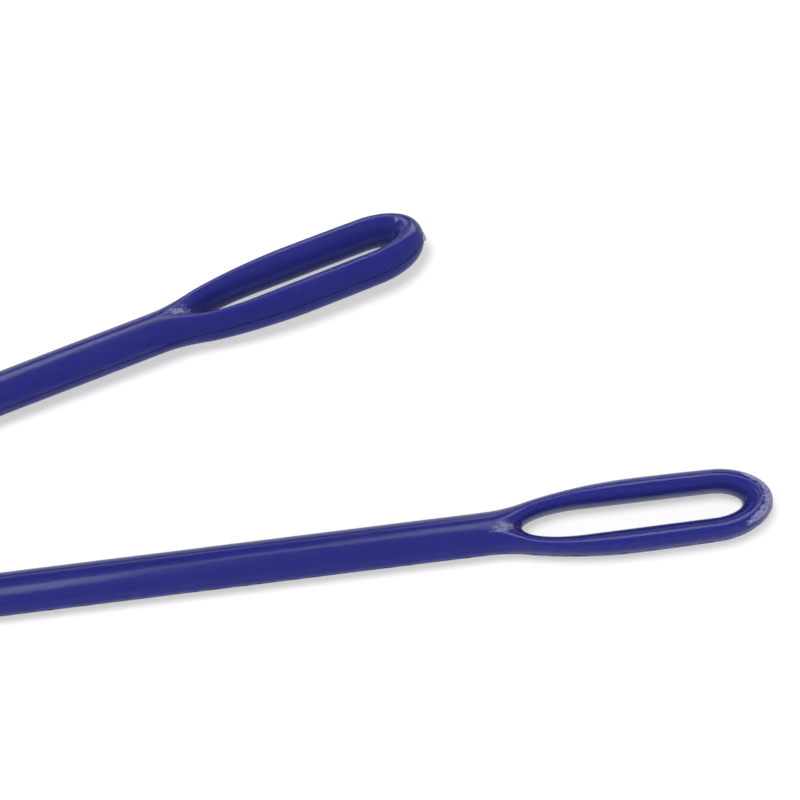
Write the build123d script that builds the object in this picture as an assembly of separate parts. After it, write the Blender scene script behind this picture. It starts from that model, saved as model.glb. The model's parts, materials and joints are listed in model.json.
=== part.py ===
from build123d import *
import os
from math import asin, cos, degrees, hypot, radians, sin, sqrt

# A pair of moulded plastic yarn needles with long eyes, lying on a table. Millimetres.
# Each needle is one moulding, drawn with its head's end at the origin and its point
# towards -X, the eye flat in the XY plane. Then both are laid on the table, Z = 0.

# shank and point
needle_length = 70.0
shank_diameter = 2.5
point_length = 14.0
point_end_diameter = 1.2
point_end_rounding = 0.55

# eye, measured from the head's end towards the point
eye_width = 4.3
head_width = 3.92
eye_thickness = 2.5
neck_from_head = 16.6
widest_from_head = 8.0
head_round_length = 3.3

# hole through the eye
head_wall = 1.74
hole_length = 12.8
hole_width = 1.65
hole_head_width = 1.54
hole_head_round_length = 1.8
hole_fork_round_length = 3.4

# fork, where the two walls of the eye grow out of the shank
fork_thickness = 2.3
waist_before_fork = 1.1
fork_blend_length = 2.6
dish_length = 1.75
web_width = 0.5
shank_overlap_length = 0.8

# shares: how the outline and the fork divide the sizes above
flare_share = 0.27
knee_share = 0.2
web_height_share = 0.95
point_fillet_limit_share = 0.95
wall_station_shares = (0.02, 0.14, 0.28, 0.42, 0.56, 0.68, 0.78, 0.87, 0.95)
fork_station_shares = (0.1, 0.3, 0.5, 0.7, 0.88)

# angles round the head's end at which the walls are drawn, the first one past the middle
head_angles = (-30, 0, 30, 60, 90)

# where the second needle lies, from the head's end of the first one
back_head_towards_point = 17.89
back_head_sideways = 18.86
back_turn_angle = 14.9
back_roll_angle = 23.0

shank_radius = shank_diameter / 2
hole_fork_from_head = head_wall + hole_length
waist_from_head = hole_fork_from_head - waist_before_fork
knee_from_head = hole_fork_from_head - knee_share * hole_fork_round_length
limb_start_from_head = hole_fork_from_head + fork_blend_length
shank_start_from_head = limb_start_from_head + shank_overlap_length
point_start_from_head = needle_length - point_length


def rounding(along, length):
    """Share of the full width that an elliptical end leaves at a distance from its tip."""
    return sqrt(1 - (1 - along / length) ** 2) if along < length else 1.0


def ease(share):
    """Smooth rise from 0 to 1."""
    held = min(max(share, 0.0), 1.0)
    return held * held * (3 - 2 * held)


def outer_half_width(along):
    """Half the needle's width over the eye, at a distance from the head's end."""
    widest = eye_width / 2
    if along <= widest_from_head:
        drop = (widest - head_width / 2) * (1 - along / widest_from_head) ** 2
        return (widest - drop) * rounding(along, head_round_length)
    flare = neck_from_head - widest_from_head
    hollow, crown = flare_share * flare, (1 - flare_share) * flare
    rise = widest - shank_radius
    from_neck = neck_from_head - along
    if from_neck <= 0:
        return shank_radius
    if from_neck < hollow:
        return shank_radius + rise * from_neck**2 / (hollow * flare)
    return widest - rise * (flare - from_neck) ** 2 / (crown * flare)


def hole_half_width(along):
    """Half the hole's width in the eye's middle plane, at a distance from the head's end."""
    share = (along - head_wall) / hole_length
    full = (hole_head_width + (hole_width - hole_head_width) * share) / 2
    head_end = rounding(along - head_wall, hole_head_round_length)
    fork_end = rounding(hole_fork_from_head - along, hole_fork_round_length)
    return full * head_end * fork_end


def wall_inner_edge(along):
    """Inner edge of one wall. Past the hole it runs on over the middle, to the shank's far side."""
    if along <= knee_from_head:
        return hole_half_width(along)
    run = limb_start_from_head - knee_from_head
    share = min((along - knee_from_head) / run, 1.0)
    start = hole_half_width(knee_from_head)
    into = 1 - knee_share
    slope = -hole_width / 2 * into / (hole_fork_round_length * sqrt(1 - into**2))
    straight = (1 + 2 * share) * (1 - share) ** 2
    leaning = share * (1 - share) ** 2
    return straight * start + leaning * run * slope - ease(share) * shank_radius


def half_thickness(along):
    """Half the needle's thickness, from the eye's down to a waist at the fork and up to the shank's."""
    to_waist = ease((along - widest_from_head) / (waist_from_head - widest_from_head))
    past_waist = ease((along - waist_from_head) / (limb_start_from_head - waist_from_head))
    waist = eye_thickness + (fork_thickness - eye_thickness) * to_waist
    return (waist + (shank_diameter - waist) * past_waist) / 2


def wall_section(outer_along, outer_side, inner_along, inner_side):
    """Ellipse standing across one wall, in quarter arcs from its outer edge over its crest."""
    across = Vector(inner_along - outer_along, outer_side - inner_side, 0)
    middle_along = (outer_along + inner_along) / 2
    middle = Vector(-middle_along, (outer_side + inner_side) / 2, 0)
    plane = Plane(origin=middle, x_dir=across, z_dir=across.cross(Vector(0, 0, 1)))
    wide, high = across.length / 2, half_thickness(middle_along)
    quarters = [EllipticalCenterArc((0, 0), wide, high, start, arc_size=90) for start in (0, 90, 180, 270)]
    return plane * make_face(quarters)


def head_section(angle):
    """Section across the wall at an angle round the head's end, 0 at its tip."""
    turn = radians(abs(angle))
    side = 1 if angle >= 0 else -1
    outer_along = head_round_length * (1 - cos(turn))
    inner_along = head_wall + hole_head_round_length * (1 - cos(turn))
    outer_side = side * outer_half_width(outer_along)
    inner_side = side * hole_half_width(inner_along)
    return wall_section(outer_along, outer_side, inner_along, inner_side)


def side_section(along):
    """Section square across one wall at a distance from the head's end."""
    return wall_section(along, outer_half_width(along), along, wall_inner_edge(along))


def one_wall():
    """One wall of the eye, from the middle of the head's end back into the shank."""
    first_side = head_wall + hole_head_round_length
    side_run = knee_from_head - first_side
    fork_run = limb_start_from_head - knee_from_head
    places = [first_side + share * side_run for share in wall_station_shares]
    places += [knee_from_head + share * fork_run for share in fork_station_shares]
    places += [limb_start_from_head, shank_start_from_head]
    sections = [head_section(angle) for angle in head_angles]
    sections += [side_section(along) for along in places]
    middle_line = Spline([section.center() for section in sections])
    wall = sweep(sections, middle_line, multisection=True)
    reach = 2 * needle_length
    near_side = Box(reach, reach, reach, align=(Align.CENTER, Align.MIN, Align.CENTER))
    return wall & near_side


def web():
    """Rounded wedge that closes the fork between the walls and makes the ramp up to the shank."""
    centre = Vector(-(hole_fork_from_head + dish_length), 0, 0)
    nose = Plane(origin=centre, x_dir=(1, 0, 0), z_dir=(0, 1, 0))
    outline = nose * Ellipse(dish_length, web_height_share * shank_radius)
    return extrude(outline, web_width / 2, both=True)


def shank():
    """Round shank with its long taper and blunt, rounded point."""
    start, taper, end = -shank_start_from_head, -point_start_from_head, -needle_length
    end_radius = point_end_diameter / 2
    side = Line((start, shank_radius), (taper, shank_radius))
    ogive = TangentArc((taper, shank_radius), (end, end_radius), tangent=(-1, 0))
    rest = Polyline((end, end_radius), (end, 0), (start, 0), (start, shank_radius))
    solid = revolve(make_face([side, ogive, rest]), Axis.X)
    tip = solid.edges().sort_by(Axis.X)[0]
    return fillet(tip, min(point_end_rounding, end_radius * point_fillet_limit_share))


def needle():
    """One needle as it leaves the mould."""
    wall = one_wall()
    return shank() + wall + mirror(wall, Plane.XZ) + web()


def front_place():
    """The first needle lies flat on its shank."""
    return Pos(0, 0, shank_radius)


def back_place(moulding):
    """The second one is rolled, so it rests on its eye's lower wall and on the taper's start."""
    roll = radians(back_roll_angle)
    wall_middle = (outer_half_width(widest_from_head) + wall_inner_edge(widest_from_head)) / 2
    wall_half = outer_half_width(widest_from_head) - wall_middle
    eye_drop = wall_middle * sin(roll) + hypot(wall_half * sin(roll), eye_thickness / 2 * cos(roll))
    run = point_start_from_head - widest_from_head
    pitch = degrees(asin((eye_drop - shank_radius) / run))
    turned = Rot(Z=back_turn_angle) * Rot(Y=-pitch) * Rot(X=-back_roll_angle)
    height = -(turned * moulding).bounding_box().min.Z
    return Pos(-back_head_towards_point, back_head_sideways, height) * turned


def main():
    moulding = needle()
    places = {"front_needle": front_place(), "back_needle": back_place(moulding)}
    box = Compound([place * moulding for place in places.values()]).bounding_box()
    to_middle = Pos(-(box.min.X + box.max.X) / 2, -(box.min.Y + box.max.Y) / 2, 0)
    straight_middle = Pos(-(shank_start_from_head + point_start_from_head) / 2, 0, 0)
    print("straight shank length", point_start_from_head - shank_start_from_head)
    os.makedirs("parts", exist_ok=True)
    for name, place in places.items():
        placed = to_middle * place * moulding
        placed.label = name
        export_step(placed, f"parts/{name}.step")
        edges = placed.bounding_box()
        print(name, "volume", placed.volume, "low", edges.min, "high", edges.max)
        middle = to_middle * place * straight_middle
        towards_point = (middle * Pos(-shank_radius, 0, 0)).position - middle.position
        print("straight shank middle", middle.position, "way to the point", towards_point.normalized())
        head_end = to_middle * place
        print("head's end", head_end.position, "turned", head_end.orientation)


main()
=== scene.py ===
import json
import math
import random
from types import SimpleNamespace

import bmesh
import bpy
from bpy.props import FloatProperty, FloatVectorProperty, IntProperty, PointerProperty
from mathutils import Matrix, Vector

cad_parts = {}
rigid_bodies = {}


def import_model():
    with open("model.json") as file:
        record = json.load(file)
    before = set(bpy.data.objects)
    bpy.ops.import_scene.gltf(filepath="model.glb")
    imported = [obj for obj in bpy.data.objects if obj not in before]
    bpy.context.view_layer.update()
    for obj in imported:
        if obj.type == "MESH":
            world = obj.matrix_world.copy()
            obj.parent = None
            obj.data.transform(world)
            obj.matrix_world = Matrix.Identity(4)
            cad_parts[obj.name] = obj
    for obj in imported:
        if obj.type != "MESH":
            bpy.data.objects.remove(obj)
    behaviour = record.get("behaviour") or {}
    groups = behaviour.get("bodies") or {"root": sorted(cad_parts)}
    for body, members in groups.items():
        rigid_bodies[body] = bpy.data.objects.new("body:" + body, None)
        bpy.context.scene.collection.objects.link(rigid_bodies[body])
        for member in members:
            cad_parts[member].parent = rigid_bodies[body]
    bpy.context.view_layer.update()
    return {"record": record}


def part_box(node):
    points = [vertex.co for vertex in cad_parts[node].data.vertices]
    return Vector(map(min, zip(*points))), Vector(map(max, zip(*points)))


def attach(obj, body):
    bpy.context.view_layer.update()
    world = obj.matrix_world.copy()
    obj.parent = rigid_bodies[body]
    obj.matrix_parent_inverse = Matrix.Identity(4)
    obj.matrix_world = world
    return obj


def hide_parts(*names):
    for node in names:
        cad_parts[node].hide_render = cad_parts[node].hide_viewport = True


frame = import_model()

bl_info = {
    "name": "Yarn needles",
    "version": (1, 0, 0),
    "blender": (4, 5, 0),
    "location": "View3D > Sidebar > Yarn needles",
    "description": "Two moulded plastic yarn needles with long eyes, lying on a pale table",
    "category": "Add Mesh",
}

MM = 0.001
QUARTER_TURN = math.pi / 2
SIDES = ("front", "back")

# The cards, in millimetres: place along X, middle across or up, half width, brightness.
CARD_HEIGHT = 150.0
CARD_AWAY = 300.0
CARD_GAIN = 2.45
FRONT_CARD = (
    (-32.0, -22.0, 58.0, 3.6),
    (-21.6, 0.0, 40.0, 2.6),
    (-15.6, 16.0, 34.0, 1.9),
    (-7.6, 56.0, 26.0, 1.4),
    (-1.6, 74.0, 23.0, 1.2),
    (15.2, 76.0, 24.0, 1.3),
    (22.0, 86.0, 40.0, 1.3),
    (28.0, 130.0, 55.0, 1.6),
    (34.0, 120.0, 70.0, 1.6),
    (42.0, 95.0, 75.0, 2.4),
    (80.0, 85.0, 75.0, 2.6),
)
EDGE_CARD = (
    (-400.0, 30.0, 30.0, 1.2),
    (400.0, 30.0, 30.0, 1.2),
)
EYE_CARD = (
    (-58.0, 540.0, 380.0, 1.0),
    (-46.0, 540.0, 390.0, 2.0),
    (-10.0, 540.0, 400.0, 2.4),
    (30.0, 540.0, 400.0, 2.4),
)
HEAD_CARD = (
    (130.0, 430.0, 380.0, 1.2),
    (260.0, 430.0, 400.0, 2.4),
    (1100.0, 430.0, 400.0, 2.4),
)
BACK_CARD = (
    (-175.0, 225.0, 190.0, 2.2),
    (-150.0, 225.0, 180.0, 2.1),
    (-127.0, 222.0, 150.0, 1.9),
    (-104.0, 218.0, 125.0, 1.75),
    (-80.0, 172.0, 78.0, 2.0),
    (-60.0, 165.0, 50.0, 1.9),
    (20.0, 155.0, 22.0, 1.4),
)

# Each card's name, the needle whose gloss sees it, its rows, and whether it lies flat.
CARDS = (
    ("front", "front", FRONT_CARD, True),
    ("back", "back", BACK_CARD, False),
    ("eye", "back", EYE_CARD, False),
    ("head", "back", HEAD_CARD, False),
    ("edge", "front", EDGE_CARD, False),
)

# The plastic's body: its gloss, and how far red, green and blue light scatter in it.
PLASTIC_IOR = 1.31
POLISH_SPREAD = 0.06
SCATTER_REACH = (0.12, 0.16, 1.0)
SCATTER_SCALE = 1.4 * MM

# The weaker gloss reaches up to this height over the needle's middle, and higher on the near side.
LOW_UP_TO = 1.0 * MM
LOW_TILT = 0.35

# Grain and streaks that show where the plastic is rubbed, and dust, in shares of its spacing.
OWN_PLACE = "own_place"
MARKS = "Handling marks"
GRAIN_DETAIL = 3.0
SOFT_DETAIL = 2.0
GRAIN_PART = 0.55
STREAK_PART = 0.45
STREAK_STRETCH = 0.25
STREAK_TURN = 0.5
RUB_REACH = 0.5
RUB_START = 0.88
RUB_RAMP = 0.14
DUST_SPACING = 0.5 * MM
DUST_SIZE = 0.055
DUST_SHARE = 0.1
SHADE_SIZE = 2.5 * MM
BUMP_HEIGHT = 0.02 * MM
CLEAN_RELIEF = 0.04
DUST_RELIEF = 0.5

# The fork's rubbed ramp, in shares of the ramp's length and the hole's width.
RAMP_PLACE = {"front": 0.62, "back": 0.4}
RAMP_REACH = 1.3
RAMP_WIDTH = 0.62
RAMP_RISE = 4.0

# The head's rubbed rim: its place in shares of the head's rounding, and how it fades away.
HEAD_RUB = {"front": 1.1, "back": 0.6}
RIM_MIDDLE = 0.78
RIM_REACH = 0.42
RIM_FADE = 2.2
RIM_CUT = 0.3
RIM_RISE = 3.0

# The painted shade along the line where the mould's halves met, standing in for the shadow of the step
# between them, and the paler band beside it on the shank.
LINE_REACH = 0.085 * MM
LINE_MIDDLE = -0.02 * MM
LINE_SIDE = 1.2 * MM
LINE_HEAD = 1.3 * MM
LINE_PATCH = 1.3 * MM
LINE_LEAST = 0.45
LINE_GAIN = 1.5
PALE_BAND_REACH = 0.5 * MM
PALE_BAND_SHARE = {"front": 0.0, "back": 0.1}

# The flash round the outline, and the seams of the meshes.
FLASH_RUB = 0.1
FLASH_SIDES = 6
FLASH_FLATNESS = 0.5
SEAM_SIDES = 6
SLIVER = 0.0001 * MM

# The gate's stub: how far it narrows, is sunk into the head, and is uneven round and up.
GATE_RUB = 1.25
GATE_SEED = 4
GATE_RINGS = 5
GATE_STEPS = 20
GATE_TAPER = 0.35
GATE_SINK = 0.6
GATE_ROUGH = 0.12
GATE_LIFT = 0.3

# The camera's sensor in millimetres, and how near it sees.
SENSOR_WIDTH = 36.0
CLIP_START = 1.0 * MM

# Single rubbed spots, in millimetres: from the head's end, sideways, reach, amount.
RUBBED_SPOTS = {
    "front": ((3.45, -1.25, 0.3, 0.7), (3.25, -1.75, 0.2, 0.65), (1.9, -1.3, 0.35, 0.5)),
    "back": ((1.3, 0.5, 0.4, 1.0), (0.5, 0.9, 0.4, 0.6)),
}

mounts = {mount["name"]: mount for mount in frame["record"]["mounts"]}
front_low, front_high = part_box("front_needle")
front_size = front_high - front_low


def number(name, description, default, **kind):
    """A plain number that a user can change."""
    return FloatProperty(name=name, description=description, default=default, **kind)


def length(name, description, default):
    """A size in metres that a user can change."""
    return number(name, description, default, unit="LENGTH", precision=6)


def share(name, description, default):
    """A share of some size, from 0 to 1."""
    return number(name, description, default, min=0.0, max=1.0, subtype="FACTOR")


def angle(name, description, degrees):
    """An angle, given here in degrees."""
    return number(name, description, math.radians(degrees), subtype="ANGLE")


def count(name, description, default):
    """A whole number that a user can change."""
    return IntProperty(name=name, description=description, default=default, min=1)


def colour(name, description, default):
    """A colour in scene linear values."""
    kind = {"size": 3, "min": 0.0, "subtype": "COLOR"}
    return FloatVectorProperty(name=name, description=description, default=default, **kind)


class NeedleSizes(bpy.types.PropertyGroup):
    """Sizes of one moulding. Places along it are measured from its head's end."""

    needle_length: length("Needle length", "From the head's end to the point", front_size.x)
    shank_diameter: length("Shank diameter", "Thickness of the round shank", front_size.z)
    point_length: length("Point length", "Length of the tapered point", 14.0 * MM)
    point_end_diameter: length("Point end", "Thickness at the blunt end", 1.2 * MM)
    point_end_rounding: length("Point rounding", "Length of the rounded end", 0.55 * MM)
    eye_width: length("Eye width", "Widest place across the eye", front_size.y)
    head_width: length("Head width", "Width near the head's end", 3.92 * MM)
    eye_thickness: length("Eye thickness", "Thickness of the eye's walls", 2.5 * MM)
    neck: length("Neck", "Place where the eye's flare meets the shank", 16.6 * MM)
    widest: length("Widest place", "Place where the eye is widest", 8.0 * MM)
    head_round: length("Head rounding", "Length of the head's rounded end", 3.3 * MM)
    head_wall: length("Head wall", "Plastic between the head's end and the hole", 1.74 * MM)
    hole_length: length("Hole length", "Length of the eye's hole", 12.8 * MM)
    hole_width: length("Hole width", "Width of the hole at the fork", 1.65 * MM)
    hole_head_width: length("Hole head width", "Width of the hole at the head", 1.54 * MM)
    hole_head_round: length("Hole head rounding", "Length of the hole's rounded head end", 1.8 * MM)
    hole_fork_round: length("Hole fork rounding", "Length of the hole's pointed fork end", 3.4 * MM)
    fork_thickness: length("Fork thickness", "Thickness at the waist by the fork", 2.3 * MM)
    waist_before_fork: length("Waist", "From the waist to the hole's fork end", 1.1 * MM)
    fork_blend: length("Fork blend", "Length over which the walls sink into the shank", 2.6 * MM)
    dish: length("Dish", "Length of the ramp from the hole up to the shank", 1.75 * MM)
    flare_share: share("Flare share", "Share of the flare that is hollow", 0.27)
    knee_share: share("Knee share", "Share of the fork rounding past which the walls turn in", 0.2)
    crest_share: share("Crest share", "Place of a wall's crest, from its inner to its outer edge", 0.56)


class NeedleMesh(bpy.types.PropertyGroup):
    """How finely a moulding is drawn, and how uneven its surface is."""

    steps_along: count("Steps along", "Rings from the head's end to the point", 480)
    steps_around: count("Steps around", "Steps over a quarter of a ring", 30)
    head_until: share("Head stations", "Share of the rings used up at the head's end", 0.1)
    eye_until: share("Eye stations", "Share of the rings used up at the fork", 0.42)
    fork_until: share("Fork stations", "Share of the rings used up where the shank starts", 0.62)
    shank_until: share("Shank stations", "Share of the rings used up where the point starts", 0.86)
    point_until: share("Point stations", "Share of the rings used up at the blunt end", 0.94)
    fork_crowding: share("Fork crowding", "How far the rings' steps crowd into the fork's groove", 0.8)
    wave_height: length("Wave height", "How far the surface waves in and out", 0.012 * MM)
    wave_size: length("Wave size", "Size of those waves", 4.0 * MM)
    weld: length("Weld distance", "Points nearer than this become one", 0.001 * MM)
    seed: number("Seed", "Picks another set of waves", 3.0)


class FlashSizes(bpy.types.PropertyGroup):
    """The thin flash round the outline, where the two halves of the mould met."""

    flash_steps: count("Flash steps", "Steps along the flash on one side", 900)
    flash_sink: length("Flash base", "Half thickness of the line where no flash stands out", 0.008 * MM)
    flash_height: length("Flash height", "How far the tallest flash stands out", 0.08 * MM)
    flash_gap: share("Flash gap", "Share of the noise below which there is no flash", 0.47)
    flash_patch: length("Flash patch", "Length of one patch of flash", 0.55 * MM)
    flash_seed: number("Flash seed", "Picks another set of patches", 5.0)
    gate_diameter: length("Gate diameter", "Width of the broken-off gate at the head's end", 0.5 * MM)
    gate_height: length("Gate height", "How far the broken-off gate stands out", 0.1 * MM)
    gate_turn: angle("Gate turn", "Place of the gate round the head, from its end", -16.0)


class PlasticFinish(bpy.types.PropertyGroup):
    """Colours and marks of the plastic."""

    base: colour("Plastic", "Colour of the clean plastic", (0.0222, 0.0252, 0.192))
    deep: colour("Deep plastic", "Colour of the slightly darker patches", (0.019, 0.0215, 0.172))
    worn: colour("Worn plastic", "Colour where the surface is rubbed pale", (0.26, 0.27, 0.4))
    # Painted shade: this dark colour stands in for the shadow of the step where the mould's halves met.
    line: colour("Parting line", "Colour of the line where the mould's halves met", (0.006, 0.007, 0.04))
    line_share: share("Parting line strength", "How much of that colour the line shows", 0.85)
    polish: number("Polish", "Roughness of the clean surface", 0.15)
    worn_rough: number("Worn roughness", "Roughness of the rubbed surface", 0.5)
    gloss: number("Gloss", "Strength of the reflections on the upper half", 0.5)
    low_gloss: number("Low gloss", "Strength of the reflections on the lower half and near side", 0.14)


class StageSettings(bpy.types.PropertyGroup):
    """Camera, table and light."""

    aim_towards_point: length("Aim along", "From the front needle's head towards its point", 20.531 * MM)
    aim_sideways: length("Aim sideways", "From the front needle's axis towards the back needle", 8.657 * MM)
    camera_distance: length("Camera distance", "From the aimed point to the camera", 120.0 * MM)
    camera_height: angle("Camera height", "Angle above the table", 71.948)
    camera_turn: angle("Camera turn", "Turn about the vertical", -4.331)
    camera_twist: angle("Camera twist", "Turn about the line of sight", -2.9)
    lens: number("Lens", "Focal length in millimetres on a 36 mm sensor", 92.05)
    table_half: length("Table half width", "Half the width of the table", 220.0 * MM)
    table_colour: colour("Table colour", "The table as it lights the needles from below", (0.9, 0.9, 0.9))
    table_lit: colour("Table lit", "Part of its brightness that shadows take away", (0.6, 0.597, 0.586))
    table_glow: number("Table glow", "Part of its brightness that shadows leave", 0.515)
    room_light: number("Room light", "Brightness of the room overhead", 0.3)
    horizon_low: number("Horizon low", "Height of a direction up to which the room is white", 0.03)
    horizon_high: number("Horizon high", "Height of a direction past which the room is dim", 0.2)
    key_light: number("Key light", "Brightness that the key lamp gives a white table", 0.7)
    key_height: angle("Key height", "Angle of the key lamp above the table", 80.0)
    key_turn: angle("Key turn", "Turn of the key lamp from +X", 155.0)
    key_spread: angle("Key spread", "Width of the key lamp as the needles see it", 22.0)
    lamp_distance: length("Lamp distance", "From the needles to either lamp", 500.0 * MM)
    fill_light: number("Fill light", "Brightness that the fill lamp gives the needles", 0.56)
    fill_height: angle("Fill height", "Angle of the fill lamp above the table", 58.0)
    fill_turn: angle("Fill turn", "Turn of the fill lamp from +X", -80.0)
    fill_spread: angle("Fill spread", "Width of the fill lamp as the needles see it", 60.0)


class Value:
    """A number in a node tree, which Python's own signs can work with."""

    def __init__(self, tree, socket):
        self.tree = tree
        self.socket = socket

    def work(self, operation, *others):
        node = self.tree.nodes.new("ShaderNodeMath")
        node.operation = operation
        for slot, one in zip(node.inputs, (self, *others)):
            feed(self.tree, one, slot)
        return Value(self.tree, node.outputs[0])

    def __add__(self, other):
        return self.work("ADD", other)

    def __sub__(self, other):
        return self.work("SUBTRACT", other)

    def __mul__(self, other):
        return self.work("MULTIPLY", other)

    def __truediv__(self, other):
        return self.work("DIVIDE", other)

    def __neg__(self):
        return self.work("MULTIPLY", -1.0)

    def __rsub__(self, other):
        return -self + other

    def __rtruediv__(self, other):
        return self.power(-1.0) * other

    __radd__ = __add__
    __rmul__ = __mul__

    def least(self, other):
        return self.work("MINIMUM", other)

    def most(self, other):
        return self.work("MAXIMUM", other)

    def below(self, other):
        return self.work("LESS_THAN", other)

    def power(self, other):
        return self.work("POWER", other)

    def squared(self):
        return self.work("MULTIPLY", self)

    def root(self):
        return self.work("SQRT")

    def sine(self):
        return self.work("SINE")

    def cosine(self):
        return self.work("COSINE")

    def arc_cosine(self):
        return self.work("ARCCOSINE")

    def size(self):
        return self.work("ABSOLUTE")


def feed(tree, one, slot):
    """Links or sets one input."""
    if isinstance(one, Value):
        tree.links.new(one.socket, slot)
    elif isinstance(one, bpy.types.NodeSocket):
        tree.links.new(one, slot)
    else:
        slot.default_value = one


def add(tree, kind, inputs=None, **settings):
    """Adds a node, with its settings, and feeds its inputs by name or by number."""
    node = tree.nodes.new(kind)
    for name, value in settings.items():
        setattr(node, name, value)
    for name, value in (inputs or {}).items():
        feed(tree, value, node.inputs[name])
    return node


def parts_of(tree, place):
    """The x, y and z of a vector, as values."""
    split = add(tree, "ShaderNodeSeparateXYZ", {0: place})
    return [Value(tree, one) for one in split.outputs]


def pick(flag, yes, no):
    """yes where flag is 1, no where it is 0."""
    return (yes - no) * flag + no


def held(value):
    """A share kept between 0 and 1."""
    return value.most(0.0).least(1.0)


def ease(value):
    """Smooth rise from 0 to 1."""
    kept = held(value)
    return kept * kept * (3.0 - kept * 2.0)


def rounding(along, extent):
    """Share of the full width that an elliptical end leaves at a distance from its tip."""
    return (1.0 - (1.0 - (along / extent).least(1.0)).squared()).root()


def worked_sizes(tree, group_input):
    """The tree's named inputs as values, with the places that follow from them."""
    one = SimpleNamespace(**{slot.name: Value(tree, slot) for slot in group_input.outputs if slot.name})
    one.shank_radius = one.shank_diameter / 2.0
    one.hole_fork = one.head_wall + one.hole_length
    one.knee = one.hole_fork - one.knee_share * one.hole_fork_round
    one.limb_start = one.hole_fork + one.fork_blend
    one.waist = one.hole_fork - one.waist_before_fork
    one.point_start = one.needle_length - one.point_length
    one.point_blunt = one.needle_length - one.point_end_rounding
    one.first_side = one.head_wall + one.hole_head_round
    return one


def point_half_width(size, along):
    """Half the shank's thickness, along the straight shank, the arc of the point and its blunt end."""
    drop = size.shank_radius - size.point_end_diameter / 2.0
    arc_radius = (size.point_length.squared() + drop.squared()) / (drop * 2.0)
    run = (along - size.point_start).most(0.0)
    arc = size.shank_radius - arc_radius + (arc_radius.squared() - run.squared()).root()
    return arc * rounding(size.needle_length - along, size.point_end_rounding)


def outer_half_width(size, along):
    """Half the needle's width at a distance from the head's end."""
    widest = size.eye_width / 2.0
    drop = (widest - size.head_width / 2.0) * (1.0 - along / size.widest).squared()
    head = (widest - drop) * rounding(along, size.head_round)
    flare = size.neck - size.widest
    hollow = size.flare_share * flare
    rise = widest - size.shank_radius
    from_neck = (size.neck - along).most(0.0)
    foot = size.shank_radius + rise * from_neck.squared() / (hollow * flare)
    crown = widest - rise * (flare - from_neck).squared() / ((flare - hollow) * flare)
    eye = pick(along.below(size.widest), head, pick(from_neck.below(hollow), foot, crown))
    return pick(along.below(size.neck), eye, point_half_width(size, along))


def hole_half_width(size, along):
    """Half the hole's width in the eye's middle plane. It is 0 outside the hole."""
    part = (along - size.head_wall) / size.hole_length
    full = (size.hole_head_width + (size.hole_width - size.hole_head_width) * part) / 2.0
    head_end = rounding(along - size.head_wall, size.hole_head_round)
    fork_end = rounding(size.hole_fork - along, size.hole_fork_round)
    return full * head_end * fork_end


def wall_inner_edge(size, along, outer):
    """Inner edge of one wall. Past the hole it runs on over the middle, to the shank's far side."""
    run = size.limb_start - size.knee
    part = held((along - size.knee) / run)
    start = hole_half_width(size, size.knee)
    into = 1.0 - size.knee_share
    steep = size.hole_width / 2.0 * into / (size.hole_fork_round * (1.0 - into.squared()).root())
    left = (1.0 - part).squared()
    turning = (part * 2.0 + 1.0) * left * start - part * left * run * steep - ease(part) * size.shank_radius
    hole = hole_half_width(size, along)
    fork = pick(along.below(size.hole_fork), turning.most(hole), turning)
    edge = pick(along.below(size.knee), hole, fork)
    return pick(along.below(size.limb_start), edge, -outer)


def half_thickness(size, along, outer):
    """Half the needle's thickness: the eye's, down to the waist, up to the shank's, then round."""
    to_waist = ease((along - size.widest) / (size.waist - size.widest))
    past_waist = ease((along - size.waist) / (size.limb_start - size.waist))
    waist = size.eye_thickness + (size.fork_thickness - size.eye_thickness) * to_waist
    eye = (waist + (size.shank_diameter - waist) * past_waist) / 2.0
    return pick(along.below(size.limb_start), eye, outer)


def stations(size, turn):
    """Where ring number turn (0 to 1) has its inner and its outer end."""
    marks = (0.0, size.head_until, size.eye_until, size.fork_until, size.shank_until, size.point_until, 1.0)
    parts = [held((turn - low) / (high - low)) for low, high in zip(marks, marks[1:])]
    head, eye, fork, shank, point, blunt = parts
    bend = 1.0 - (head * QUARTER_TURN).cosine()
    inner = size.head_wall + size.hole_head_round * bend
    inner = inner + (size.hole_fork - size.first_side) * (eye * QUARTER_TURN).sine()
    inner = inner + size.fork_blend * (1.0 - (fork * QUARTER_TURN).cosine())
    inner = inner + (size.point_start - size.limb_start) * shank
    inner = inner + (size.point_blunt - size.point_start) * point
    inner = inner + size.point_end_rounding * (blunt * QUARTER_TURN).sine()
    lag = (size.first_side - size.head_round) * (1.0 - eye).squared()
    outer = pick(head.below(1.0), size.head_round * bend, inner - lag)
    return inner, outer


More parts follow.
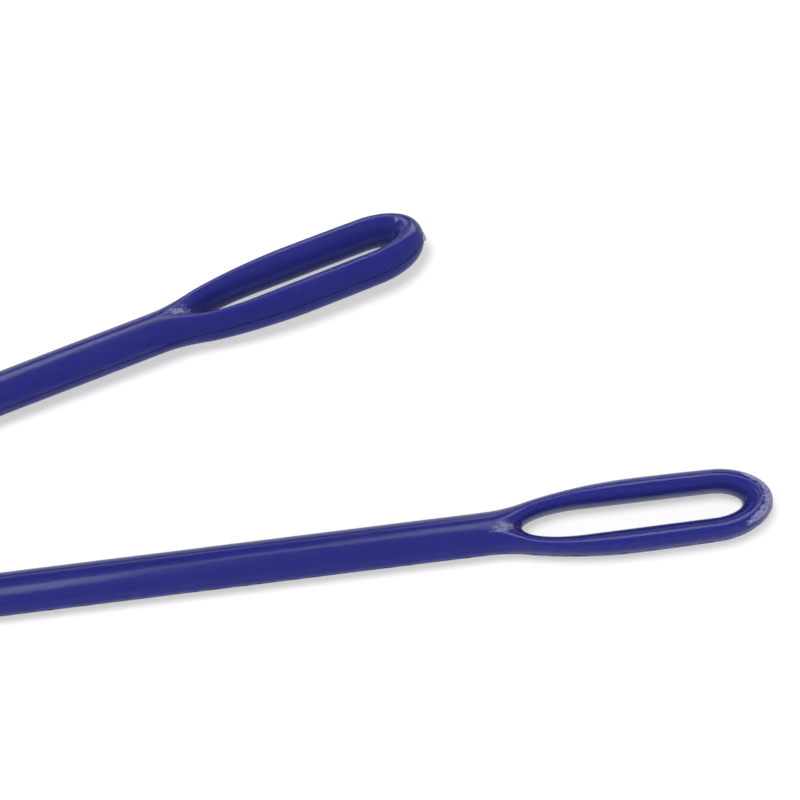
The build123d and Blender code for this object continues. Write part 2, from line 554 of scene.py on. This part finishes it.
def quarter_point(size, turn, over):
    """Place on a quarter of the moulding, for ring number turn and step over along that ring."""
    inner_along, outer_along = stations(size, turn)
    middle_along = (inner_along + outer_along) / 2.0
    outer = outer_half_width(size, outer_along)
    inner = wall_inner_edge(size, inner_along, outer)
    high = half_thickness(size, middle_along, outer)
    wide = outer - inner
    to_shank = ease((inner_along - size.knee) / (size.limb_start - size.knee))
    crest = size.crest_share + (0.5 - size.crest_share) * to_shank
    in_fork = size.knee.below(inner_along)
    ramp = held((inner_along - size.hole_fork) / size.dish)
    start = hole_half_width(size, inner_along)
    first = pick(in_fork, inner + wide * crest * ramp, start).most(start)
    past_hole = size.hole_fork.below(inner_along)
    first_turn = (1.0 - (first - inner) / (wide * crest)).arc_cosine() * past_hole
    crowding = ease((inner_along - size.knee) / (size.hole_fork - size.knee))
    crowding = crowding * ease((size.limb_start - inner_along) / size.fork_blend * 2.0)
    spread = over.power(1.0 + crowding * size.fork_crowding)
    swing = first_turn + (math.pi - first_turn) * spread
    across = crest - swing.cosine() * pick(swing.below(QUARTER_TURN), crest, 1.0 - crest)
    level = inner + wide * across
    stretch = (outer.squared() - start.squared()) / (outer.squared() - first.squared())
    soft = (start.squared() + (level.squared() - first.squared()).most(0.0) * stretch).root()
    side = pick(in_fork, soft, level)
    along = pick(in_fork, inner_along, inner_along + (outer_along - inner_along) * across)
    return -along, side, high * swing.sine()


def new_tree(name, groups):
    """An empty geometry tree with an input for each setting of the property groups given."""
    tree = bpy.data.node_groups.new(name, "GeometryNodeTree")
    for group in groups:
        for key in group.__annotations__:
            kind = "NodeSocketInt" if group.bl_rna.properties[key].type == "INT" else "NodeSocketFloat"
            tree.interface.new_socket(name=key, in_out="INPUT", socket_type=kind)
    tree.interface.new_socket(name="Plastic", in_out="INPUT", socket_type="NodeSocketMaterial")
    tree.interface.new_socket(name="Geometry", in_out="OUTPUT", socket_type="NodeSocketGeometry")
    return tree


def mirrored(tree, geometry, scale):
    """The geometry joined with its mirror image."""
    image = add(tree, "GeometryNodeTransform", {"Geometry": geometry, "Scale": scale})
    turned = add(tree, "GeometryNodeFlipFaces", {"Mesh": image.outputs[0]})
    joined = add(tree, "GeometryNodeJoinGeometry")
    tree.links.new(geometry, joined.inputs[0])
    tree.links.new(turned.outputs[0], joined.inputs[0])
    return joined.outputs[0]


def needle_tree():
    """Geometry tree of one moulding, with its head's end at the origin and its point towards -X."""
    tree = new_tree("Needle moulding", (NeedleSizes, NeedleMesh))
    group_input = tree.nodes.new("NodeGroupInput")
    size = worked_sizes(tree, group_input)
    grid = add(tree, "GeometryNodeMeshGrid", {"Size X": 1.0, "Size Y": 1.0})
    tree.links.new(size.steps_along.socket, grid.inputs["Vertices X"])
    tree.links.new(size.steps_around.socket, grid.inputs["Vertices Y"])
    turn, over, _ = parts_of(tree, add(tree, "GeometryNodeInputPosition").outputs[0])
    x, y, z = quarter_point(size, turn + 0.5, over + 0.5)
    point = add(tree, "ShaderNodeCombineXYZ", {"X": x, "Y": y, "Z": z})
    drawn = {"Geometry": grid.outputs["Mesh"], "Position": point.outputs[0]}
    quarter = add(tree, "GeometryNodeSetPosition", drawn)
    half = mirrored(tree, quarter.outputs[0], (1.0, 1.0, -1.0))
    whole = mirrored(tree, half, (1.0, -1.0, 1.0))
    welded = add(tree, "GeometryNodeMergeByDistance", {"Geometry": whole, "Distance": size.weld})
    waved = add(tree, "GeometryNodeSetPosition", {"Geometry": welded.outputs[0], "Offset": waves(tree, size)})
    finish_tree(tree, waved.outputs[0], size.Plastic)
    return tree


def finish_tree(tree, geometry, material):
    """Keeps each point's place on the moulding for the plastic's marks, and ends the tree."""
    place = add(tree, "GeometryNodeInputPosition")
    stored = add(tree, "GeometryNodeStoreNamedAttribute", {"Geometry": geometry, "Name": OWN_PLACE},
                 data_type="FLOAT_VECTOR", domain="POINT")
    tree.links.new(place.outputs[0], stored.inputs["Value"])
    smooth = add(tree, "GeometryNodeSetShadeSmooth", {"Geometry": stored.outputs[0]})
    real = add(tree, "GeometryNodeRealizeInstances", {"Geometry": smooth.outputs[0]})
    finished = add(tree, "GeometryNodeSetMaterial", {"Geometry": real.outputs[0], "Material": material})
    group_output = tree.nodes.new("NodeGroupOutput")
    tree.links.new(finished.outputs[0], group_output.inputs[0])


def flash_tree():
    """Geometry tree of the thin flash where the mould's halves met, round the whole outline."""
    tree = new_tree("Parting flash", (NeedleSizes, FlashSizes))
    group_input = tree.nodes.new("NodeGroupInput")
    size = worked_sizes(tree, group_input)
    line = add(tree, "GeometryNodeMeshLine", mode="OFFSET")
    tree.links.new(size.flash_steps.socket, line.inputs["Count"])
    index = Value(tree, add(tree, "GeometryNodeInputIndex").outputs[0])
    part = index / (size.flash_steps - 1.0)
    head = 1.0 - ((1.0 - part * 2.0).most(0.0) * QUARTER_TURN).sine()
    rest = ((part * 2.0 - 1.0).most(0.0) * QUARTER_TURN).sine()
    along = size.widest * head + (size.needle_length - size.widest) * rest
    side = outer_half_width(size, along)
    spot = add(tree, "ShaderNodeCombineXYZ", {"X": -along, "Y": side, "Z": 0.0})
    drawn = add(tree, "GeometryNodeSetPosition", {"Geometry": line.outputs[0], "Position": spot.outputs[0]})
    rail = add(tree, "GeometryNodeMeshToCurve", {"Mesh": drawn.outputs[0]})
    patches = seeded_noise(tree, size.flash_patch, size.flash_seed)
    rough = (patches - size.flash_gap) / (1.0 - size.flash_gap)
    thick = size.flash_sink + rough.most(0.0) * size.flash_height
    ring = add(tree, "GeometryNodeCurvePrimitiveCircle", {"Resolution": FLASH_SIDES, "Radius": 1.0})
    swept = {"Curve": rail.outputs[0], "Profile Curve": ring.outputs[0], "Scale": thick, "Fill Caps": True}
    tube = add(tree, "GeometryNodeCurveToMesh", swept)
    thin = {"Geometry": tube.outputs[0], "Scale": (1.0, 1.0, FLASH_FLATNESS)}
    flat = add(tree, "GeometryNodeTransform", thin)
    finish_tree(tree, mirrored(tree, flat.outputs[0], (1.0, -1.0, 1.0)), size.Plastic)
    return tree


def seeded_noise(tree, extent, seed):
    """Noise from 0 to 1 on a mesh's points, with features of this size."""
    place = add(tree, "GeometryNodeInputPosition")
    noise = add(tree, "ShaderNodeTexNoise", {"Vector": place.outputs[0], "W": seed}, noise_dimensions="4D")
    feed(tree, 1.0 / extent, noise.inputs["Scale"])
    return Value(tree, noise.outputs[0])


def waves(tree, size):
    """Small offsets along the surface's normals, as a moulding has where it shrank."""
    height = (seeded_noise(tree, size.wave_size, size.seed) - 0.5) * 2.0 * size.wave_height
    normal = add(tree, "GeometryNodeInputNormal")
    offset = add(tree, "ShaderNodeVectorMath", {0: normal.outputs[0]}, operation="SCALE")
    feed(tree, height, offset.inputs["Scale"])
    return offset.outputs[0]


def in_scene(name, data):
    """A new object, put into the scene."""
    one = bpy.data.objects.new(name, data)
    bpy.context.scene.collection.objects.link(one)
    return one


def shaped(name, tree, values, material):
    """A plain mesh object from a geometry tree with these input values."""
    piece = in_scene(name, bpy.data.meshes.new(name))
    modifier = piece.modifiers.new("Shape", "NODES")
    modifier.node_group = tree
    for item in tree.interface.items_tree:
        if item.item_type == "SOCKET" and item.in_out == "INPUT":
            modifier[item.identifier] = material if item.name == "Plastic" else values[item.name]
    depsgraph = bpy.context.evaluated_depsgraph_get()
    mesh = bpy.data.meshes.new_from_object(piece.evaluated_get(depsgraph))
    mesh.name = name
    piece.modifiers.remove(modifier)
    piece.data = mesh
    return piece


def point_outwards(mesh):
    """Closes the tiny gap that the fork's seam can leave, and turns every face outwards."""
    work = bmesh.new()
    work.from_mesh(mesh)
    bmesh.ops.dissolve_degenerate(work, edges=work.edges, dist=SLIVER)
    bmesh.ops.holes_fill(work, edges=work.edges, sides=SEAM_SIDES)
    bmesh.ops.recalc_face_normals(work, faces=work.faces)
    work.to_mesh(mesh)
    work.free()


def settings_of(*groups):
    """All the settings of some property groups as one dict."""
    return {key: getattr(group, key) for group in groups for key in type(group).__annotations__}


def needle_place(side):
    """Where one needle lies, from its shank's and its eye's mounts."""
    sizes = bpy.context.scene.needle_sizes
    shank, eye = mounts[f"{side}_shank"], mounts[f"{side}_eye"]
    along = -Vector(shank["axis"]).normalized()
    up = Vector(eye["axis"])
    across = up.cross(along).normalized()
    up = along.cross(across)
    middle = sizes.needle_length - sizes.point_length - shank["dims"]["length_mm"] * MM / 2
    head = Vector(shank["pos_m"]) + along * middle
    turned = Matrix((along, across, up)).transposed().to_4x4()
    return Matrix.Translation(head) @ turned


def handling_marks():
    """Shader group of the marks that handling leaves, built once, on the moulding's own coordinates."""
    if MARKS in bpy.data.node_groups:
        return bpy.data.node_groups[MARKS]
    group = bpy.data.node_groups.new(MARKS, "ShaderNodeTree")
    face = group.interface
    face.new_socket(name="Place", in_out="INPUT", socket_type="NodeSocketVector")
    for name, value in (("Rubbing", 1.0), ("Grain", 0.055 * MM), ("Streaks", 0.13 * MM), ("Dust", 1.0)):
        face.new_socket(name=name, in_out="INPUT", socket_type="NodeSocketFloat").default_value = value
    for name in ("Worn", "Shade", "Height"):
        face.new_socket(name=name, in_out="OUTPUT", socket_type="NodeSocketFloat")
    ends = group.nodes.new("NodeGroupInput")
    given = {slot.name: Value(group, slot) for slot in ends.outputs if slot.name}
    grain = cloud(group, given["Place"], 1.0 / given["Grain"], GRAIN_DETAIL)
    long_way = add(group, "ShaderNodeMapping", {"Vector": given["Place"]})
    long_way.inputs["Scale"].default_value = (STREAK_STRETCH, 1.0, 1.0)
    long_way.inputs["Rotation"].default_value = (0.0, 0.0, STREAK_TURN)
    streaks = cloud(group, long_way.outputs[0], 1.0 / given["Streaks"], SOFT_DETAIL)
    patchy = grain * GRAIN_PART + streaks * STREAK_PART
    worn = held((patchy + given["Rubbing"] * RUB_REACH - RUB_START) / RUB_RAMP) * given["Rubbing"].least(1.0)
    cells = add(group, "ShaderNodeTexVoronoi", {"Vector": given["Place"], "Scale": 1.0 / DUST_SPACING})
    speck = held(1.0 - Value(group, cells.outputs["Distance"]) / DUST_SIZE)
    chosen = add(group, "ShaderNodeSeparateColor", {0: cells.outputs["Color"]})
    dust = speck * Value(group, chosen.outputs[0]).below(DUST_SHARE) * given["Dust"]
    shade = cloud(group, given["Place"], 1.0 / SHADE_SIZE, SOFT_DETAIL)
    out = group.nodes.new("NodeGroupOutput")
    feed(group, held(worn + dust), out.inputs["Worn"])
    feed(group, shade, out.inputs["Shade"])
    feed(group, grain * held(worn + CLEAN_RELIEF) + dust * DUST_RELIEF, out.inputs["Height"])
    return group


def cloud(tree, place, scale, detail):
    """Noise from 0 to 1 at a scale given per metre."""
    noise = add(tree, "ShaderNodeTexNoise", {"Vector": place, "Scale": scale, "Detail": detail})
    return Value(tree, noise.outputs["Fac"])


def hill(value, middle, reach):
    """1 at the middle, falling smoothly to 0 at the reach on either side."""
    return ease(1.0 - (value - middle).size() / reach)


def rubbed_places(tree, place, sizes, side_of):
    """How much the surface is rubbed: most on the fork's ramps and round the head's rim."""
    x, y, z = parts_of(tree, place)
    along, side = -x, y.size()
    ramp_middle = sizes.head_wall + sizes.hole_length + sizes.dish * RAMP_PLACE[side_of]
    ramp = hill(along, ramp_middle, sizes.dish * RAMP_REACH) * hill(side, 0.0, sizes.hole_width * RAMP_WIDTH)
    ramp = ramp * ease(z.size() / sizes.shank_diameter * RAMP_RISE)
    from_middle = (1.0 - along / sizes.head_round).most(0.0)
    rim = from_middle.squared() + (side / sizes.head_width * 2.0).squared()
    head = hill(rim, RIM_MIDDLE, RIM_REACH) * ease(from_middle * RIM_FADE - RIM_CUT)
    head = head * ease(z.size() / sizes.eye_thickness * RIM_RISE)
    spots = held(ramp + head * HEAD_RUB[side_of])
    for spot_along, spot_side, reach, much in RUBBED_SPOTS[side_of]:
        off = ((along - spot_along * MM).squared() + (y - spot_side * MM).squared()).root()
        spots = spots.most(hill(off, 0.0, reach * MM) * much)
    return spots


def parting_line_shade(tree, place, sizes):
    """Painted shade along the uneven line round the outside where the mould's halves met, and the shank's
    paler band.
    """
    x, y, z = parts_of(tree, place)
    ramp_end = sizes.head_wall + sizes.hole_length + sizes.dish
    outside = (LINE_SIDE - y.size()).below(0.0).most((-x).below(LINE_HEAD)).most(x.below(-ramp_end))
    uneven = cloud(tree, place, 1.0 / LINE_PATCH, GRAIN_DETAIL) + LINE_LEAST
    line = held(hill(z, LINE_MIDDLE, LINE_REACH) * uneven * LINE_GAIN) * outside
    pale_band = hill(z, 0.0, PALE_BAND_REACH) * ease((-x - ramp_end) / sizes.head_wall) * uneven
    return line, pale_band


def plastic(name, finish, sizes, side_of=None, evenly=0.0):
    """Glossy deep blue plastic with one needle's rubbed places, or rubbed evenly all over."""
    material = bpy.data.materials.new(name)
    material.use_nodes = True
    tree = material.node_tree
    place = add(tree, "ShaderNodeAttribute", attribute_name=OWN_PLACE).outputs["Vector"]
    rubbed = rubbed_places(tree, place, sizes, side_of) if side_of else evenly
    marks = add(tree, "ShaderNodeGroup", node_tree=handling_marks())
    for key, value in (("Place", place), ("Rubbing", rubbed), ("Dust", 1.0 if side_of else 0.0)):
        feed(tree, value, marks.inputs[key])
    worn, shade = (Value(tree, marks.outputs[key]) for key in ("Worn", "Shade"))
    clean = mixed_colour(tree, shade, finish.base, finish.deep)
    line, pale_band = parting_line_shade(tree, place, sizes)
    # A paler band in the worn colour along the back needle's shank by the parting line; only its colour
    # changes.
    if side_of and PALE_BAND_SHARE[side_of]:
        clean = mixed_colour(tree, pale_band * PALE_BAND_SHARE[side_of], clean, finish.worn)
    # Painted shade: the parting line is darkened as if shaded by the step between the mould's halves.
    clean = mixed_colour(tree, line * finish.line_share, clean, finish.line)
    bump = add(tree, "ShaderNodeBump", {"Height": marks.outputs["Height"], "Distance": BUMP_HEIGHT})
    _, y, z = parts_of(tree, place)
    upper = ease((z + y * LOW_TILT) / LOW_UP_TO)
    shader = tree.nodes["Principled BSDF"]
    for key, value in (
        ("Base Color", mixed_colour(tree, worn, clean, finish.worn)),
        ("Roughness", pick(worn, finish.worn_rough, finish.polish) + shade * POLISH_SPREAD),
        ("Normal", bump.outputs[0]),
        ("Specular IOR Level", pick(upper, finish.gloss, finish.low_gloss)),
        ("IOR", PLASTIC_IOR),
        ("Subsurface Weight", 1.0 if side_of else 0.0),
        ("Subsurface Radius", SCATTER_REACH),
        ("Subsurface Scale", SCATTER_SCALE),
    ):
        feed(tree, value, shader.inputs[key])
    return material


def mixed_colour(tree, share_of, first, second):
    """The first colour where the share is 0 and the second where it is 1."""
    mix = add(tree, "ShaderNodeMix", data_type="RGBA")
    feed(tree, share_of, mix.inputs[0])
    for slot, one in ((6, first), (7, second)):
        feed(tree, one if isinstance(one, bpy.types.NodeSocket) else (*one, 1.0), mix.inputs[slot])
    return mix.outputs[2]


class YARN_OT_mould(bpy.types.Operator):
    """Moulds both needles and lays them where the frame has them"""

    bl_idname = "yarn_needle.mould"
    bl_label = "Mould the needles"

    def execute(self, context):
        scene = context.scene
        tree = needle_tree()
        for number_of, side in enumerate(SIDES):
            material = plastic(f"Blue plastic {side}", scene.plastic_finish, scene.needle_sizes, side)
            values = settings_of(scene.needle_sizes, scene.needle_mesh)
            values["seed"] += number_of
            piece = shaped(f"{side}_needle_moulding", tree, values, material)
            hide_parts(f"{side}_needle")
            lay(piece, side)
        return {"FINISHED"}


class YARN_OT_flash(bpy.types.Operator):
    """Adds the thin flash round both outlines"""

    bl_idname = "yarn_needle.flash"
    bl_label = "Add the flash"

    def execute(self, context):
        scene = context.scene
        tree = flash_tree()
        edge = plastic("Plastic flash", scene.plastic_finish, scene.needle_sizes, evenly=FLASH_RUB)
        for number_of, side in enumerate(SIDES):
            values = settings_of(scene.needle_sizes, scene.flash_sizes)
            values["flash_seed"] += number_of
            piece = shaped(f"{side}_needle_flash", tree, values, edge)
            lay(piece, side)
        return {"FINISHED"}


class YARN_OT_gate(bpy.types.Operator):
    """Adds the stub of the broken-off gate on the back needle's head"""

    bl_idname = "yarn_needle.gate"
    bl_label = "Add the gate"

    def execute(self, context):
        scene = context.scene
        cut = plastic("Broken plastic", scene.plastic_finish, scene.needle_sizes, evenly=GATE_RUB)
        piece = gate(scene.needle_sizes, scene.flash_sizes)
        piece.data.materials.append(cut)
        lay(piece, "back")
        return {"FINISHED"}


def lay(piece, side):
    """Turns the faces outwards and puts the piece where its needle lies."""
    point_outwards(piece.data)
    piece.data.transform(needle_place(side))
    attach(piece, side)


def gate(sizes, flash):
    """Low rough stub left where the moulding was broken off its runner."""
    work = bmesh.new()
    draw = random.Random(GATE_SEED)
    radius = flash.gate_diameter / 2
    previous = None
    for ring in range(GATE_RINGS):
        rise = ring / (GATE_RINGS - 1)
        wide = radius * (1.0 - GATE_TAPER * rise**2)
        level = flash.gate_height * rise - radius * GATE_SINK * (1.0 - rise)
        points = []
        for step in range(GATE_STEPS):
            turn = 2 * math.pi * step / GATE_STEPS
            reach = wide * (1.0 + draw.uniform(-GATE_ROUGH, GATE_ROUGH) * rise)
            lift = draw.uniform(-GATE_LIFT, GATE_LIFT) * flash.gate_height * rise
            points.append(work.verts.new((level + lift, reach * math.cos(turn), reach * math.sin(turn))))
        if previous:
            for step in range(GATE_STEPS):
                after = (step + 1) % GATE_STEPS
                work.faces.new((previous[step], previous[after], points[after], points[step]))
        else:
            work.faces.new(points)
        previous = points
    work.faces.new(previous)
    mesh = bpy.data.meshes.new("back_needle_gate")
    work.to_mesh(mesh)
    work.free()
    side = sizes.head_width / 2 * math.sin(flash.gate_turn)
    along = sizes.head_round * (1.0 - math.cos(flash.gate_turn))
    mesh.transform(Matrix.Translation((-along, side, 0.0)) @ Matrix.Rotation(flash.gate_turn, 4, "Z"))
    own = mesh.attributes.new(OWN_PLACE, "FLOAT_VECTOR", "POINT")
    for point, kept in zip(mesh.vertices, own.data):
        kept.vector = point.co
    return in_scene("back_needle_gate", mesh)


def sight(stage):
    """The camera's line of sight, its right and its up, from the angles set."""
    high, turn, twist = stage.camera_height, stage.camera_turn, stage.camera_twist
    back = Vector((math.cos(high) * math.sin(turn), -math.cos(high) * math.cos(turn), math.sin(high)))
    level = Vector((math.cos(turn), math.sin(turn), 0.0))
    steep = back.cross(level)
    right = level * math.cos(twist) + steep * math.sin(twist)
    up = steep * math.cos(twist) - level * math.sin(twist)
    return back, right, up


class YARN_OT_stage(bpy.types.Operator):
    """Sets the table, the light and the camera"""

    bl_idname = "yarn_needle.stage"
    bl_label = "Set the stage"

    def execute(self, context):
        stage = context.scene.needle_stage
        set_camera(context, stage)
        set_table(stage)
        set_world(stage)
        set_lamp("key", stage.key_light, stage.key_height, stage.key_turn, stage.key_spread)
        fill = set_lamp("fill", stage.fill_light, stage.fill_height, stage.fill_turn, stage.fill_spread)
        fill.light_linking.receiver_collection = lit_pieces("fill", SIDES)
        for name, side, places, flat in CARDS:
            set_card(name, side, places, flat)
        context.scene.view_settings.view_transform = "Standard"
        return {"FINISHED"}


def set_camera(context, stage):
    """Looks down at both eyes, as the picture does."""
    back, right, up = sight(stage)
    head = needle_place("front").translation
    aim = head + Vector((-stage.aim_towards_point, stage.aim_sideways, 0.0))
    camera_data = bpy.data.cameras.new("Camera")
    camera_data.sensor_width = SENSOR_WIDTH
    camera_data.lens = stage.lens
    camera_data.clip_start = CLIP_START
    camera_data.dof.use_dof = False
    camera = in_scene("Camera", camera_data)
    turned = Matrix((right, up, back)).transposed().to_4x4()
    camera.matrix_world = Matrix.Translation(aim + back * stage.camera_distance) @ turned
    context.scene.camera = camera


def set_table(stage):
    """A white table. The camera and reflections see it brighter than it is lit, with its shadows."""
    half = stage.table_half
    corners = [(-half, -half, 0.0), (half, -half, 0.0), (half, half, 0.0), (-half, half, 0.0)]
    table = staged("table", corners, [(0, 1, 2, 3)])
    material = bpy.data.materials.new("Table")
    material.use_nodes = True
    tree = material.node_tree
    tree.nodes.clear()
    bounce = add(tree, "ShaderNodeBsdfDiffuse", {"Color": (*stage.table_colour, 1.0)})
    lit = add(tree, "ShaderNodeBsdfDiffuse", {"Color": (*stage.table_lit, 1.0)})
    glow = add(tree, "ShaderNodeEmission", {"Color": (1.0, 1.0, 1.0, 1.0), "Strength": stage.table_glow})
    seen = add(tree, "ShaderNodeAddShader", {0: lit.outputs[0], 1: glow.outputs[0]})
    ray = add(tree, "ShaderNodeLightPath")
    seeing = ("Is Camera Ray", "Is Glossy Ray", "Is Transmission Ray")
    camera, glossy, through = (Value(tree, ray.outputs[name]) for name in seeing)
    direct = camera.most(glossy).most(through)
    mixed = add(tree, "ShaderNodeMixShader", {0: direct, 1: bounce.outputs[0], 2: seen.outputs[0]})
    output = add(tree, "ShaderNodeOutputMaterial", {"Surface": mixed.outputs[0]})
    output.is_active_output = True
    table.data.materials.append(material)


def staged(name, corners, faces):
    """A mesh of the stage, which isn't part of the needles."""
    mesh = bpy.data.meshes.new(name)
    mesh.from_pydata(corners, [], faces)
    piece = in_scene(name, mesh)
    return piece


def set_world(stage):
    """White towards the horizon and dimmer overhead, as in a room with a white table."""
    world = bpy.data.worlds.new("World")
    world.use_nodes = True
    tree = world.node_tree
    _, _, z = parts_of(tree, add(tree, "ShaderNodeTexCoord").outputs["Generated"])
    rise = ease((z - stage.horizon_low) / (stage.horizon_high - stage.horizon_low))
    level = pick(rise, stage.room_light, 1.0)
    background = tree.nodes["Background"]
    tree.links.new(level.socket, background.inputs["Color"])
    bpy.context.scene.world = world


def set_lamp(name, light, high, turn, spread):
    """A large soft round lamp, given by the brightness that it would give a white table facing it."""
    way = Vector((math.cos(high) * math.cos(turn), math.cos(high) * math.sin(turn), math.sin(high)))
    distance = bpy.context.scene.needle_stage.lamp_distance
    lamp = bpy.data.lights.new(name, "AREA")
    lamp.shape = "DISK"
    lamp.size = 2.0 * distance * math.tan(spread / 2.0)
    lamp.energy = light * (math.pi * distance) ** 2
    holder = in_scene(name, lamp)
    holder.location = way * distance
    holder.rotation_euler = way.to_track_quat("Z", "Y").to_euler()
    holder.visible_glossy = False
    return holder


def lit_pieces(name, sides):
    """A collection of the pieces of some needles, for a lamp or a card that lights only them."""
    lit = bpy.data.collections.new(f"lit by {name}")
    for side in sides:
        for piece in bpy.data.objects:
            if piece.name.startswith(f"{side}_needle_"):
                lit.objects.link(piece)
    return lit


def set_card(name, side, places, flat):
    """A bright card seen only in one needle's gloss, from rows of (along, middle, half width, light)."""
    rows = []
    for along, middle, half, _ in places:
        for edge in (middle - half, middle + half):
            rows.append((along, edge, CARD_HEIGHT) if flat else (along, CARD_AWAY, edge))
    faces = [(2 * k, 2 * k + 2, 2 * k + 3, 2 * k + 1) for k in range(len(places) - 1)]
    card = staged(f"{name}_card", [Vector(row) * MM for row in rows], faces)
    shine = card.data.attributes.new("shine", "FLOAT", "POINT")
    for k, place in enumerate(places):
        shine.data[2 * k].value = shine.data[2 * k + 1].value = place[3] * CARD_GAIN
    material = bpy.data.materials.new(f"{name} card")
    material.use_nodes = True
    tree = material.node_tree
    tree.nodes.clear()
    light = add(tree, "ShaderNodeAttribute", attribute_name="shine")
    glow = add(tree, "ShaderNodeEmission", {"Color": (1.0, 1.0, 1.0, 1.0), "Strength": light.outputs["Fac"]})
    add(tree, "ShaderNodeOutputMaterial", {"Surface": glow.outputs[0]})
    card.data.materials.append(material)
    card.visible_camera = card.visible_diffuse = card.visible_shadow = card.visible_transmission = False
    card.light_linking.receiver_collection = lit_pieces(f"{name} card", (side,))


class YARN_PT_panel(bpy.types.Panel):
    """Sizes and steps of the yarn needles"""

    bl_label = "Yarn needles"
    bl_idname = "YARN_PT_panel"
    bl_space_type = "VIEW_3D"
    bl_region_type = "UI"
    bl_category = "Yarn needles"

    def draw(self, context):
        for step in steps:
            self.layout.operator(step.bl_idname)
        for name in settings:
            box = self.layout.box()
            group = getattr(context.scene, name)
            for key in type(group).__annotations__:
                box.prop(group, key)


steps = (YARN_OT_mould, YARN_OT_flash, YARN_OT_gate, YARN_OT_stage)
settings = {
    "needle_sizes": NeedleSizes,
    "needle_mesh": NeedleMesh,
    "flash_sizes": FlashSizes,
    "plastic_finish": PlasticFinish,
    "needle_stage": StageSettings,
}
classes = (*settings.values(), *steps, YARN_PT_panel)


def register():
    """Adds the classes and the scene's settings."""
    for one in classes:
        bpy.utils.register_class(one)
    for name, kind in settings.items():
        setattr(bpy.types.Scene, name, PointerProperty(type=kind))


def unregister():
    """Takes them away again."""
    for name in settings:
        delattr(bpy.types.Scene, name)
    for one in reversed(classes):
        bpy.utils.unregister_class(one)


def main():
    """Builds the whole scene."""
    register()
    bpy.ops.yarn_needle.mould()
    bpy.ops.yarn_needle.flash()
    bpy.ops.yarn_needle.gate()
    bpy.ops.yarn_needle.stage()


if __name__ == "__main__":
    main()
